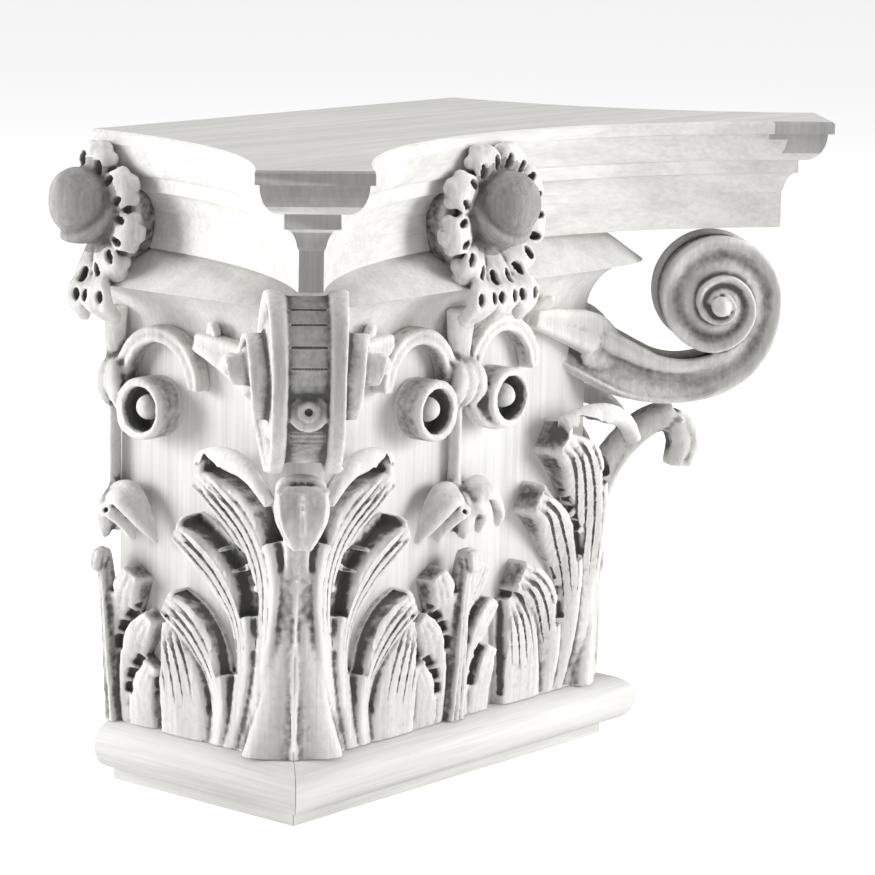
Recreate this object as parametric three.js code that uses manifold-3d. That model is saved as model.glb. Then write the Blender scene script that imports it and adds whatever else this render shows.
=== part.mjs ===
// Half capital for a pilaster, carved and built up in pale wood, in millimetres.
// +Z is up, the front face looks along -Y, and the flat back stands behind it.
// The model is worked out about the axis of the whole square capital, which lies in
// the back plane, and is moved forward at the end so that the origin is bottom centre.

import * as THREE from 'three';
import { mergeVertices } from 'three/addons/utils/BufferGeometryUtils.js';
import Module from 'manifold-3d';

const wasm = await Module();
wasm.setup();

// ---------- driving dimensions ----------

const GAP = 0.3;                    // clearance between neighbouring pieces
const CAPITAL_HEIGHT = 269.6;

const PLINTH_HALF = 100;            // base moulding: fillet below, full round nose above
const PLINTH_HEIGHT = 5.7;
const NOSE_TOP = 25.9;
const NOSE_OUT = 11.1;

const BELL_HALF = 96.5;             // plain vertical faces of the bell
const BELL_CORNER_RADIUS = 15;
const COVE_BOTTOM = 186;
const LIP_EDGE_HALF = 120;          // sharp edge of the lip, at the middle of a side
const LIP_EDGE_RADIUS = 39;
const LIP_EDGE_HEIGHT = 209;
const BELL_TOP = 222.7;

const ABACUS_BOTTOM = 223;
// Rings of the abacus: height, distance at the middle of a side, distance to the cut
// corner along the diagonal, and half the width of the cut corner.
const FASCIA_RING = { middle: 101, corner: 212, cut: 4.6 };
const FILLET_RING = { middle: 108, corner: 217.8, cut: 10.4 };
const OVOLO_RING = { middle: 112.6, corner: 228, cut: 20 };
const TOP_RING = { middle: 113.5, corner: 230.5, cut: 21.8 };

const VOLUTE_EYE = { along: 188, height: 192 };
const VOLUTE_OUTER = 26.5;          // radius of the scroll at its outermost point
const VOLUTE_THICKNESS = 29;
const VOLUTE_TURNS = 2.25;
const VOLUTE_EYE_OUT = 32;          // each scroll winds out sideways to its eye, as a cone

const LEAF_FOOT = 26.3;             // carved leaves stand on the base moulding
const LEAF_ROOT = LEAF_FOOT - 3.1;  // leaves are drawn from here and cut level at the foot
const CORNER_LEAF_TOP = 147;
const FACE_LEAF_TOP = 99;

const FLEURON_HEIGHT = 235;
const FLEURON_DISC_RADIUS = 24;
const FLEURON_DISC_FRONT = 114;
const ACORN_RADIUS = 14.5;
const ACORN_TILT = 52 * Math.PI / 180;
const SIDE_ACORN_SHIFT = 5;         // side acorns stand forward, so most of each is whole
const FRONT_SHIFT = -4;             // the front carvings were set a little off the middle

const WOOD_COLOUR = 0xd9d6cf;

// ---------- turning three.js geometry into solids and back ----------

function solid(geometry) {
  const bare = geometry.clone();
  bare.deleteAttribute('normal');
  bare.deleteAttribute('uv');
  const merged = mergeVertices(bare, 1e-3);
  return new wasm.Manifold(new wasm.Mesh({
    numProp: 3,
    vertProperties: new Float32Array(merged.attributes.position.array),
    triVerts: new Uint32Array(merged.index.array)
  }));
}

function geometryOf(body) {
  const mesh = body.getMesh();
  const geometry = new THREE.BufferGeometry();
  geometry.setAttribute('position', new THREE.BufferAttribute(mesh.vertProperties, 3));
  geometry.setIndex(new THREE.BufferAttribute(mesh.triVerts, 1));
  return geometry;
}

function join(bodies) {
  return bodies.reduce((whole, body) => whole.add(body));
}

// A geometry with every vertex moved by a function; flip it when the map mirrors.
function reshape(geometry, move, flip = false) {
  const positions = geometry.attributes.position;
  const vertex = new THREE.Vector3();
  for (let i = 0; i < positions.count; i += 1) {
    vertex.fromBufferAttribute(positions, i);
    move(vertex);
    positions.setXYZ(i, vertex.x, vertex.y, vertex.z);
  }
  if (flip) {
    if (geometry.index === null) {
      geometry.setIndex([...Array(positions.count).keys()]);
    }
    const index = geometry.index.array;
    for (let i = 0; i < index.length; i += 3) {
      const first = index[i];
      index[i] = index[i + 1];
      index[i + 1] = first;
    }
  }
  return geometry;
}

// Cutting can leave slivers of almost no volume beside the piece itself.
function withoutSlivers(body) {
  return body.decompose().reduce((best, part) => (part.volume() > best.volume() ? part : best));
}

function block(low, high) {
  const size = new THREE.Vector3().subVectors(high, low);
  const geometry = new THREE.BoxGeometry(size.x, size.y, size.z);
  const middle = new THREE.Vector3().addVectors(low, high).multiplyScalar(0.5);
  geometry.translate(middle.x, middle.y, middle.z);
  return solid(geometry);
}

const FAR = 400;
// All carving keeps in front of the back plane and stands on the base moulding.
const carvingSpace = block(new THREE.Vector3(-FAR, -FAR, LEAF_FOOT),
  new THREE.Vector3(FAR, 0, FAR));

// ---------- rings of points joined into one closed moulding ----------

// Each ring is a list of points in plan at one height, all with the same count; the
// cylinder's grid is laid on the rings, and its two caps close the ends.
function loftRings(rings) {
  const count = rings[0].points.length;
  const geometry = new THREE.CylinderGeometry(1, 1, 1, count, rings.length - 1);
  return solid(reshape(geometry, (v) => {
    const level = Math.round((v.y + 0.5) * (rings.length - 1));
    const ring = rings[level];
    const radius = Math.hypot(v.x, v.z);
    if (radius < 0.5) {
      v.set(0, ring.centre ?? -40, ring.height);
      return;
    }
    const turn = -Math.atan2(v.x, v.z) / (2 * Math.PI);
    const step = Math.round(turn * count + count) % count;
    const point = ring.points[step];
    v.set(point.x, point.y, ring.height);
  }));
}

// Half of a square with rounded corners, from the back plane round the front and back.
function roundedHalfSquare(half, radius, cornerSteps = 4) {
  const points = [new THREE.Vector2(half, 0)];
  for (const side of [1, -1]) {
    const centreX = side * (half - radius);
    for (let i = 0; i <= cornerSteps; i += 1) {
      const part = side > 0 ? i : cornerSteps - i;
      const angle = part / cornerSteps * Math.PI / 2;
      points.push(new THREE.Vector2(
        centreX + side * radius * Math.cos(angle),
        -(half - radius) - radius * Math.sin(angle)
      ));
    }
  }
  points.push(new THREE.Vector2(-half, 0));
  return points;
}

// Plan of the abacus at one level: a hollow arc on each side and a cut corner between.
function hollowHalfSquare(ring, arcSteps = 8) {
  const cornerLine = ring.corner * Math.SQRT1_2;
  const cut = ring.cut * Math.SQRT1_2;
  const near = cornerLine - cut;
  const far = cornerLine + cut;
  const rise = far - ring.middle;
  const radius = (near * near + rise * rise) / (2 * rise);
  const depthAt = (along) => ring.middle + radius - Math.sqrt(radius * radius - along * along);
  const points = [];
  for (let i = 0; i <= arcSteps / 2; i += 1) {
    const along = near * i / (arcSteps / 2);
    points.push(new THREE.Vector2(depthAt(along), -along));
  }
  for (let i = 0; i <= arcSteps; i += 1) {
    const along = near * (1 - 2 * i / arcSteps);
    points.push(new THREE.Vector2(along, -depthAt(along)));
  }
  for (let i = arcSteps / 2; i >= 0; i -= 1) {
    const along = near * i / (arcSteps / 2);
    points.push(new THREE.Vector2(-depthAt(along), -along));
  }
  return points;
}

// ---------- base moulding, bell and abacus ----------

function noseProfile() {
  const outline = new THREE.Shape();
  const noseRadius = (NOSE_TOP - PLINTH_HEIGHT) / 2;
  const noseCentre = PLINTH_HEIGHT + noseRadius;
  outline.moveTo(BELL_HALF + GAP, 0);
  outline.lineTo(PLINTH_HALF, 0);
  outline.lineTo(PLINTH_HALF, PLINTH_HEIGHT);
  outline.absarc(PLINTH_HALF + NOSE_OUT - noseRadius, noseCentre, noseRadius,
    -Math.PI / 2, Math.PI / 2, false);
  outline.lineTo(BELL_HALF + GAP, NOSE_TOP);
  return outline;
}

// A straight length along +X with the profile on its -Y side, mitred where asked.
function mouldingLength(from, to, mitreFrom, mitreTo) {
  const geometry = new THREE.ExtrudeGeometry(noseProfile(), {
    depth: 1, steps: 1, bevelEnabled: false, curveSegments: 8
  });
  return reshape(geometry, (v) => {
    const outward = v.x;
    const start = mitreFrom ? -outward + GAP / 2 : from;
    const end = mitreTo ? outward - GAP / 2 : to;
    v.set(start + (end - start) * v.z, -outward, v.y);
  }, true);
}

function baseMoulding(side) {
  if (side === 'front') {
    return solid(mouldingLength(0, 0, true, true));
  }
  const length = mouldingLength(0, 0, false, true);
  const turn = side === 'right' ? 1 : -1;
  return solid(reshape(length, (v) => v.set(-turn * v.y, -v.x, v.z), turn > 0));
}

function bellRings(extra = 0) {
  const rings = [
    { height: 0, half: BELL_HALF, radius: BELL_CORNER_RADIUS },
    { height: COVE_BOTTOM, half: BELL_HALF, radius: BELL_CORNER_RADIUS }
  ];
  const coveSteps = 4;
  for (let i = 1; i <= coveSteps; i += 1) {
    const angle = i / coveSteps * Math.PI / 2;
    const share = 1 - Math.cos(angle);
    rings.push({
      height: COVE_BOTTOM + (LIP_EDGE_HEIGHT - COVE_BOTTOM) * Math.sin(angle),
      half: BELL_HALF + (LIP_EDGE_HALF - BELL_HALF) * share,
      radius: BELL_CORNER_RADIUS + (LIP_EDGE_RADIUS - BELL_CORNER_RADIUS) * share
    });
  }
  rings.push({ height: BELL_TOP, half: FASCIA_RING.middle, radius: 20 });
  return rings.map((ring) => ({
    height: ring.height === BELL_TOP ? BELL_TOP + extra : ring.height,
    points: roundedHalfSquare(ring.half + extra, ring.radius + extra)
  }));
}

const bell = loftRings(bellRings());
const bellWithRoom = loftRings(bellRings(GAP)).add(
  block(new THREE.Vector3(-BELL_HALF - GAP, -BELL_HALF - GAP + 12, -1),
    new THREE.Vector3(BELL_HALF + GAP, 1, 60)));

function abacusRings() {
  const between = (a, b, share) => ({
    middle: a.middle + (b.middle - a.middle) * share,
    corner: a.corner + (b.corner - a.corner) * share,
    cut: a.cut + (b.cut - a.cut) * share
  });
  const levels = [
    [ABACUS_BOTTOM, FASCIA_RING],
    [236, FASCIA_RING],
    [242, between(FASCIA_RING, FILLET_RING, 0.25)],
    [246.9, FILLET_RING],
    [252.5, FILLET_RING],
    [254.5, between(FILLET_RING, OVOLO_RING, 0.45)],
    [258.5, between(FILLET_RING, OVOLO_RING, 0.8)],
    [264, OVOLO_RING],
    [266, TOP_RING],
    [CAPITAL_HEIGHT - 1, TOP_RING],
    [CAPITAL_HEIGHT, between(TOP_RING, OVOLO_RING, 0.5)]
  ];
  return levels.map(([height, ring]) => ({ height, points: hollowHalfSquare(ring) }));
}

const abacus = loftRings(abacusRings());
const abacusWithRoom = block(new THREE.Vector3(-FAR, -FAR, ABACUS_BOTTOM - GAP),
  new THREE.Vector3(FAR, FAR, FAR)).intersect(
  loftRings(abacusRings().map(({ height, points }) => ({
    height: height < 230 ? height - 1 : height,
    points: points.map((p) => p.clone().multiplyScalar(1 + GAP / 100))
  }))));

// ---------- carved blades: tapered, closed, bent along a curve ----------

// The blade follows smooth points; its width lies along the given direction and its
// thickness across it. Widths and thicknesses are half sizes at even steps.
function blade({ path, across, widths, thicks, sides = 4, steps = 5 }) {
  const curve = new THREE.CatmullRomCurve3(path.map((p) => new THREE.Vector3(...p)));
  const sizeAt = (list, t) => {
    const place = t * (list.length - 1);
    const index = Math.min(Math.floor(place), list.length - 2);
    return THREE.MathUtils.lerp(list[index], list[index + 1], place - index);
  };
  const geometry = new THREE.CylinderGeometry(1, 1, 1, sides, steps);
  const wide = new THREE.Vector3();
  const thick = new THREE.Vector3();
  return reshape(geometry, (v) => {
    const t = THREE.MathUtils.clamp(v.y + 0.5, 0, 1);
    const point = curve.getPoint(t);
    const tangent = curve.getTangent(t);
    wide.set(...across);
    wide.addScaledVector(tangent, -wide.dot(tangent)).normalize();
    thick.crossVectors(wide, tangent);
    point.addScaledVector(wide, v.x * sizeAt(widths, t));
    point.addScaledVector(thick, v.z * sizeAt(thicks, t));
    v.copy(point);
  });
}

// Face frame: along the face from its middle, outward from the bell, and up.
// The front face is drawn first, and the side faces are turns of it.
function onFront([along, out, up]) {
  return [along, -(BELL_HALF + out), up];
}

function turnToSide(geometry, side) {
  if (side === 'front') {
    return geometry.translate(FRONT_SHIFT, 0, 0);
  }
  if (side === 'left') {
    return reshape(geometry, (v) => v.set(v.y, -v.x, v.z));
  }
  return reshape(geometry, (v) => v.set(-v.y, v.x, v.z));
}

function faceBlade(spec) {
  return blade({ ...spec, path: spec.path.map(onFront), across: spec.across ?? [1, 0, 0] });
}

function mirroredX(geometry) {
  return reshape(geometry, (v) => v.set(-v.x, v.y, v.z), true);
}

// ---------- leaves ----------

// One lobe of a leaf: it starts in the foot, sweeps outward and up, and its tip curls.
function lobePath(foot, tip, lift, curl) {
  const rise = tip.up - foot.up;
  const reach = tip.along - foot.along;
  return [
    [foot.along, 1, foot.up],
    [foot.along + reach * 0.12, lift * 0.6, foot.up + rise * 0.35],
    [foot.along + reach * 0.42, lift, foot.up + rise * 0.72],
    [foot.along + reach * 0.85, lift + curl * 0.5, foot.up + rise],
    [tip.along, lift + curl, tip.up - 2],
    [tip.along + Math.sign(reach) * 2, lift + curl * 0.7, tip.up - 9]
  ];
}

// The leaf's ground: a low plate with a lobed edge, from the foot up to its crown.
// Lobes are listed from the highest to the lowest, each with its tip.
function leafGround(lobes, inner, crown, thickness) {
  const outline = new THREE.Shape();
  outline.moveTo(inner, LEAF_ROOT);
  const lowest = lobes[lobes.length - 1];
  outline.lineTo(lowest.foot.along + 6, LEAF_ROOT);
  outline.lineTo(lowest.tip.along - 3, LEAF_FOOT + 8);
  for (let i = lobes.length - 1; i >= 0; i -= 1) {
    const { tip } = lobes[i];
    const above = i > 0 ? lobes[i - 1].tip : { along: inner + 6, up: crown };
    outline.quadraticCurveTo(tip.along + 3, tip.up - 16, tip.along, tip.up);
    outline.lineTo(Math.min(tip.along, above.along) - 4, tip.up + (above.up - tip.up) * 0.2);
  }
  outline.lineTo(inner, crown);
  return new THREE.ExtrudeGeometry(outline, {
    depth: thickness + 2, steps: 1, bevelEnabled: false, curveSegments: 2
  });
}

function groundOnFront(geometry, middle) {
  return reshape(geometry, (v) => v.set(v.x + middle, -(BELL_HALF - 2) - v.z, v.y));
}

function faceLeaf() {
  const bodies = [faceBlade({
    path: [[0, 2, LEAF_ROOT], [0, 5, 55], [0, 8, 82], [0, 13, FACE_LEAF_TOP - 2],
      [0, 19, FACE_LEAF_TOP - 4], [0, 20, FACE_LEAF_TOP - 14]],
    widths: [8, 6, 6, 9, 10, 7, 2],
    thicks: [4, 4, 4, 3, 3, 3, 2], sides: 6, steps: 6
  })];
  const lobes = [
    { foot: { along: 5, up: LEAF_ROOT }, tip: { along: 16, up: 92 }, lift: 8, curl: 7, wide: 6 },
    { foot: { along: 10, up: LEAF_ROOT }, tip: { along: 24, up: 76 }, lift: 7, curl: 6, wide: 6 },
    { foot: { along: 14, up: LEAF_ROOT }, tip: { along: 28, up: 54 }, lift: 5, curl: 5, wide: 5.5 }
  ];
  for (const lobe of lobes) {
    const rib = () => faceBlade({
      path: lobePath(lobe.foot, lobe.tip, lobe.lift, lobe.curl),
      widths: [lobe.wide * 0.7, lobe.wide, lobe.wide * 1.1, lobe.wide, lobe.wide * 0.5],
      thicks: [3, 3.5, 3.5, 3, 1.5]
    });
    bodies.push(rib(), mirroredX(rib()));
  }
  const ground = () => groundOnFront(leafGround(lobes, 1.3, FACE_LEAF_TOP - 6, 4.2), 0);
  bodies.push(ground(), mirroredX(ground()));
  return bodies;
}

// The corner leaf is drawn on the front face beside the left corner, then mirrored in
// the diagonal plane, so its lobes lie on both faces of the corner.
function mirroredInDiagonal(geometry) {
  return reshape(geometry, (v) => v.set(v.y, v.x, v.z), true);
}

function diagonalPoint([along, sideways, up]) {
  const step = Math.SQRT1_2;
  return [(-along + sideways) * step, (-along - sideways) * step, up];
}

function cornerLeafBodies() {
  const across = [Math.SQRT1_2, -Math.SQRT1_2, 0];
  const bodies = [
    blade({
      path: [[132, 0, LEAF_ROOT], [132, 0, 60], [133, 0, 100], [139, 0, 119], [150, 0, 133],
        [161, 0, 142], [171, 0, 139], [173, 0, 130]].map(diagonalPoint),
      across, widths: [21, 14, 11, 11, 14, 15, 15, 13, 6],
      thicks: [6, 6, 7, 7, 7, 7, 7, 6, 4], steps: 9
    })
  ];
  const lobes = [
    { foot: 12, tip: { along: 34, up: CORNER_LEAF_TOP - 5 }, lift: 8, curl: 9, wide: 9 },
    { foot: 20, tip: { along: 44, up: 117 }, lift: 7, curl: 8, wide: 8.5 },
    { foot: 27, tip: { along: 52, up: 86 }, lift: 6, curl: 6, wide: 8 },
    { foot: 33, tip: { along: 56, up: 56 }, lift: 4, curl: 5, wide: 7 }
  ].map((lobe) => ({ ...lobe, foot: { along: lobe.foot, up: LEAF_ROOT } }));
  for (const lobe of lobes) {
    const rib = () => faceBlade({
      path: lobePath(lobe.foot, lobe.tip, lobe.lift, lobe.curl)
        .map(([along, out, up]) => [along - BELL_HALF, out, up]),
      widths: [lobe.wide * 0.7, lobe.wide, lobe.wide * 1.1, lobe.wide, lobe.wide * 0.5],
      thicks: [3, 4, 4, 3.5, 2]
    });
    bodies.push(rib(), mirroredInDiagonal(rib()));
  }
  const ground = () => groundOnFront(leafGround(lobes, 4, CORNER_LEAF_TOP - 8, 4), -BELL_HALF);
  bodies.push(ground(), mirroredInDiagonal(ground()));
  return bodies;
}

function cornerLeaf(side) {
  const bodies = cornerLeafBodies().map((g) => solid(side === 'right' ? mirroredX(g) : g));
  return withoutSlivers(join(bodies).subtract(bellWithRoom).intersect(carvingSpace));
}

// ---------- corner volutes ----------

// Radius of the scroll at an angle, turning in from its outermost point.
function scrollRadius(turns) {
  return VOLUTE_OUTER * Math.pow(1 - turns / (VOLUTE_TURNS + 0.55), 0.9);
}

// Outline in the diagonal plane: x along the diagonal, y up.
function voluteOutline() {
  const outline = new THREE.Shape();
  const { along, height } = VOLUTE_EYE;
  outline.moveTo(128, 180);
  outline.bezierCurveTo(142, 175, 154, 168, 172, 166);
  outline.absarc(along, height, VOLUTE_OUTER * 0.9, -Math.PI * 0.72, -Math.PI, true);
  outline.absarc(along, height, VOLUTE_OUTER, Math.PI, -Math.PI * 0.25, true);
  outline.bezierCurveTo(203, 157, 190, 150, 172, 149.8);
  outline.bezierCurveTo(156, 149.8, 138, 153, 117, 171);
  return outline;
}

// The strap that leaves the front face beside the left corner and runs into the scroll.
function voluteStrap() {
  return blade({
    path: [onFront([-48, 4, 187]), onFront([-68, 5, 182]), onFront([-86, 8, 175]),
      diagonalPoint([140, 9, 166]), diagonalPoint([156, 9, 160])],
    across: [0, 0, 1], widths: [5, 7, 8.5, 8, 6], thicks: [4, 4, 4.5, 5, 4], steps: 6
  });
}

// The inner turns stand out from the cheek one after the other, like steps of a cone.
function scrollCone(sideways) {
  const half = VOLUTE_THICKNESS / 2;
  const winding = (VOLUTE_EYE_OUT - half) / VOLUTE_TURNS;
  const profile = [
    [0, half - 2], [scrollRadius(0.9), half - 2], [scrollRadius(1), half + winding],
    [scrollRadius(1.9), half + winding - 2], [scrollRadius(2), half + 2 * winding],
    [0, VOLUTE_EYE_OUT]
  ].map(([x, y]) => new THREE.Vector2(x, y));
  const cone = new THREE.LatheGeometry(profile, 12);
  cone.rotateX(sideways * Math.PI / 2);
  return cone.translate(VOLUTE_EYE.along, VOLUTE_EYE.height, 0);
}

function volute(side) {
  const half = VOLUTE_THICKNESS / 2;
  const toDiagonal = (v) => {
    const [x, y, z] = diagonalPoint([v.x, v.z, v.y]);
    v.set(x, y, z);
  };
  const outer = new THREE.ExtrudeGeometry(voluteOutline(), {
    depth: VOLUTE_THICKNESS, steps: 1, bevelEnabled: false, curveSegments: 8
  });
  outer.translate(0, 0, -half);
  const channel = new THREE.CylinderGeometry(40, 40, 15.8, 36, 1);
  channel.rotateX(Math.PI / 2);
  channel.translate(VOLUTE_EYE.along, VOLUTE_EYE.height, 0);
  const hub = new THREE.CylinderGeometry(22.5, 22.5, 17, 28, 1);
  hub.rotateX(Math.PI / 2);
  hub.translate(VOLUTE_EYE.along, VOLUTE_EYE.height, 0);
  const band = new THREE.BoxGeometry(40, 60, 17);
  band.translate(115, 170, 0);
  const parts = [outer, channel, hub, band].map((g) => reshape(g, toDiagonal, true));
  if (side === 'right') {
    parts.forEach(mirroredX);
  }
  const [outerBody, channelBody, hubBody, bandBody] = parts.map(solid);
  let body = outerBody.subtract(channelBody.subtract(hubBody.add(bandBody)));
  for (const sideways of [1, -1]) {
    const cone = reshape(scrollCone(sideways), toDiagonal, true);
    body = body.add(solid(side === 'right' ? mirroredX(cone) : cone));
  }
  for (const strap of [voluteStrap(), mirroredInDiagonal(voluteStrap())]) {
    body = body.add(solid(side === 'right' ? mirroredX(strap) : strap));
  }
  return withoutSlivers(body.subtract(bellWithRoom).subtract(abacusWithRoom));
}

// ---------- stem, calyx and inner scrolls on each face ----------

function faceDisc({ radius, back, front, along, up, sides = 16 }) {
  const geometry = new THREE.CylinderGeometry(radius, radius, front - back, sides, 1);
  return geometry.translate(along, -(BELL_HALF + (front + back) / 2), up);
}

function scrolls() {
  const bodies = [];
  const ring = { along: 21, up: 160, radius: 12.5, front: 14 };
  const wheel = faceDisc({ radius: ring.radius, back: 0, front: ring.front, along: ring.along,
    up: ring.up, sides: 14 });
  const recess = faceDisc({ radius: ring.radius - 3.6, back: 6, front: 20, along: ring.along,
    up: ring.up, sides: 12 });
  const eye = new THREE.SphereGeometry(4.6, 6, 5);
  eye.translate(ring.along + 2.5, -(BELL_HALF + 10), ring.up + 1);
  const wheelBody = solid(wheel).subtract(solid(recess)).add(solid(eye));
  bodies.push(wheelBody);
  const arch = [];
  for (let i = 0; i <= 6; i += 1) {
    const angle = Math.PI * (0.02 + 0.98 * i / 6);
    arch.push([27 - 20 * Math.cos(angle), 5, 166 + 20 * Math.sin(angle)]);
  }
  arch.push([9, 5, 155]);
  bodies.push(solid(faceBlade({
    path: arch, across: [0, 1, 0], widths: [7, 8, 7], thicks: [2.6, 3, 2.6],
    sides: 4, steps: 8
  })));
  return bodies;
}

function calyx() {
  const stem = faceBlade({
    path: [[0, 4, 114], [0, 5, 140], [0, 5, 166], [0, 6, 196]],
    widths: [3.6, 3.2, 3.2, 9, 8, 6], thicks: [4, 3.6, 3.6, 5, 5, 6],
    sides: 5, steps: 6
  });
  const drooping = faceBlade({
    path: [[1, 4, 112], [3, 8, 122], [11, 10, 121], [20, 9, 113], [27, 7, 104]],
    widths: [4, 6, 6.5, 5, 1.5], thicks: [4, 3.5, 3, 2.5, 1.2],
    across: [0.5, 0, 0.8], sides: 5
  });
  const lower = faceBlade({
    path: [[0, 4, 120], [0, 9, 113], [0, 10, 104]],
    widths: [5, 6, 2], thicks: [3, 3, 1.5], sides: 5, steps: 3
  });
  const bud = new THREE.SphereGeometry(6.5, 8, 6);
  bud.translate(0, -(BELL_HALF + 9), 163);
  return [stem, drooping, mirroredX(drooping.clone()), lower, bud];
}

function facePiece(bodies, side) {
  const turned = bodies.map((body) => {
    const geometry = body.index === undefined ? geometryOf(body) : body;
    return solid(turnToSide(geometry, side));
  });
  const whole = join(turned).subtract(bellWithRoom).subtract(abacusWithRoom);
  return withoutSlivers(whole.intersect(carvingSpace));
}

function stemAndScrolls(side) {
  const right = scrolls().map(geometryOf);
  const left = scrolls().map(geometryOf).map(mirroredX);
  return facePiece([...calyx(), ...right, ...left], side);
}

// ---------- fleurons ----------

function fleuronBodies(acornShift) {
  const axisPoint = (out, up, along = 0) => new THREE.Vector3(along, -out, FLEURON_HEIGHT + up);
  const disc = new THREE.CylinderGeometry(FLEURON_DISC_RADIUS, FLEURON_DISC_RADIUS, 20, 14, 1);
  disc.translate(0, -(FLEURON_DISC_FRONT - 10), FLEURON_HEIGHT - 1);
  const bodies = [disc];
  const petals = 8;
  for (let i = 0; i < petals; i += 1) {
    const angle = Math.PI * 2 * (i + 0.5) / petals;
    const at = (radius, out) => [radius * Math.sin(angle), -out,
      FLEURON_HEIGHT + radius * Math.cos(angle)];
    bodies.push(blade({
      path: [at(8, 112), at(16, 119), at(24, 121), at(28, 117), at(29, 112)],
      across: [Math.cos(angle), 0, -Math.sin(angle)],
      widths: [4, 6.5, 8, 6, 3], thicks: [3, 3, 2.6, 2.4, 1.5], steps: 3
    }));
  }
  const profile = [
    [0, -15], [10, -11], [ACORN_RADIUS + 1, 0], [ACORN_RADIUS + 1, 1.5],
    [ACORN_RADIUS - 0.6, 2], [ACORN_RADIUS - 1, 9], [9, 17], [0, 21]
  ].map(([x, y]) => new THREE.Vector2(x, y));
  const acorn = new THREE.LatheGeometry(profile, 10);
  acorn.rotateX(ACORN_TILT);
  const seat = axisPoint(118, 1, acornShift);
  acorn.translate(seat.x, seat.y, seat.z);
  bodies.push(acorn);
  for (const turn of [-1, 0, 1]) {
    bodies.push(blade({
      path: [[turn * 8, -112, 216], [turn * 13, -123, 208], [turn * 17, -121, 199],
        [turn * 20, -114, 193]],
      across: [1, 0, turn * 0.4], widths: [6, 7, 6, 3], thicks: [3, 3, 3, 2], steps: 4
    }));
  }
  return bodies;
}

function fleuron(side) {
  const acornShift = { front: 0, left: SIDE_ACORN_SHIFT, right: -SIDE_ACORN_SHIFT }[side];
  return facePiece(fleuronBodies(acornShift), side);
}

// ---------- the whole, piece by piece ----------

const capital = new THREE.Group();
const depth = TOP_RING.corner * Math.SQRT1_2 + TOP_RING.cut * Math.SQRT1_2;
capital.position.y = depth / 2;

function addPiece(name, body, roughness = 0.62) {
  const material = new THREE.MeshStandardMaterial({
    color: WOOD_COLOUR, roughness, metalness: 0
  });
  const mesh = new THREE.Mesh(geometryOf(body), material);
  mesh.name = name;
  capital.add(mesh);
}

addPiece('bell', bell);
addPiece('abacus', abacus);
for (const side of ['front', 'left', 'right']) {
  addPiece(`base_moulding_${side}`, baseMoulding(side));
}
for (const side of ['left', 'right']) {
  addPiece(`corner_leaf_${side}`, cornerLeaf(side), 0.75);
  addPiece(`volute_${side}`, volute(side));
}
for (const side of ['front', 'left', 'right']) {
  addPiece(`face_leaf_${side}`, facePiece(faceLeaf(), side), 0.75);
  addPiece(`scroll_stem_${side}`, stemAndScrolls(side), 0.7);
  addPiece(`fleuron_${side}`, fleuron(side), 0.75);
}

export default capital;
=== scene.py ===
import math

import bmesh
import bpy
import numpy as np
from mathutils import Matrix, Vector, noise


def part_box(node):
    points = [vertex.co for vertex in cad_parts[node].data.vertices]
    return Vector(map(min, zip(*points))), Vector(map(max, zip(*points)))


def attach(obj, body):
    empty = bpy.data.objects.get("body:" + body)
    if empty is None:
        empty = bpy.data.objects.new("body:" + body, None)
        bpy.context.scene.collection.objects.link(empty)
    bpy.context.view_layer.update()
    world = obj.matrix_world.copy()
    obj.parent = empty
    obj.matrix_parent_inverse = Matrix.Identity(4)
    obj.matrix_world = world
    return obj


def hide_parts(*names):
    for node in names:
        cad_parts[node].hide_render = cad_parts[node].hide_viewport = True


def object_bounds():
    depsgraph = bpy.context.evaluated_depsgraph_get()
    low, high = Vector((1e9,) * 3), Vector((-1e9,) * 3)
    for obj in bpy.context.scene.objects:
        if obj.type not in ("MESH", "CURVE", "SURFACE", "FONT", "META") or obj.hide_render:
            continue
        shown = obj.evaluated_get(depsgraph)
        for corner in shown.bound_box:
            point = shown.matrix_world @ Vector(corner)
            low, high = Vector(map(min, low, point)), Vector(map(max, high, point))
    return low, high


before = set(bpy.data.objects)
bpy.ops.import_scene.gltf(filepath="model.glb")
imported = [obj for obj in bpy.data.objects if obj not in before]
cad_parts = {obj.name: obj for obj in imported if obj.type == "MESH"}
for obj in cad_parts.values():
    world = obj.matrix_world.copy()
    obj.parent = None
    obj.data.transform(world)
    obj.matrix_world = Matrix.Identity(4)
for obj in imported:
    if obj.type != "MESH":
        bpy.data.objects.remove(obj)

# Looks of a carved half capital for a pilaster. Every piece is drawn in millimetres
# about the axis of the whole square capital, which lies in the flat back plane, with
# -Y to the front and +Z up. `finished` brings it into the frame at the end.

MM = 0.001
CAD_BOX = [list(corner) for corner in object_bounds()]
BACK_PLANE = CAD_BOX[1][1]                      # metres, where the capital meets the wall
CAPITAL_HEIGHT = CAD_BOX[1][2] / MM

# ---------- driving dimensions ----------

PLINTH_HALF = 100
PLINTH_HEIGHT = 5.7
NOSE_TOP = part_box("base_moulding_front")[1][2] / MM
NOSE_OUT = 11.1

BELL_HALF = 96.5
BELL_CORNER_RADIUS = 15
COVE_BOTTOM = 186
LIP_EDGE_HALF = 120
LIP_EDGE_RADIUS = 39
LIP_EDGE_HEIGHT = 209
BELL_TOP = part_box("bell")[1][2] / MM

ABACUS_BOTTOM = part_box("abacus")[0][2] / MM
# Rings of the abacus: distance at the middle of a side, distance to the cut corner
# along the diagonal, and half the width of the cut corner.
FASCIA_RING = np.array([101, 212, 4.6])
FILLET_RING = np.array([108, 217.8, 10.4])
OVOLO_RING = np.array([112.6, 228, 20])
TOP_RING = np.array([113.5, 230.5, 21.8])

VOLUTE_EYE = (184, 192)                         # along the diagonal, and up
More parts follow.
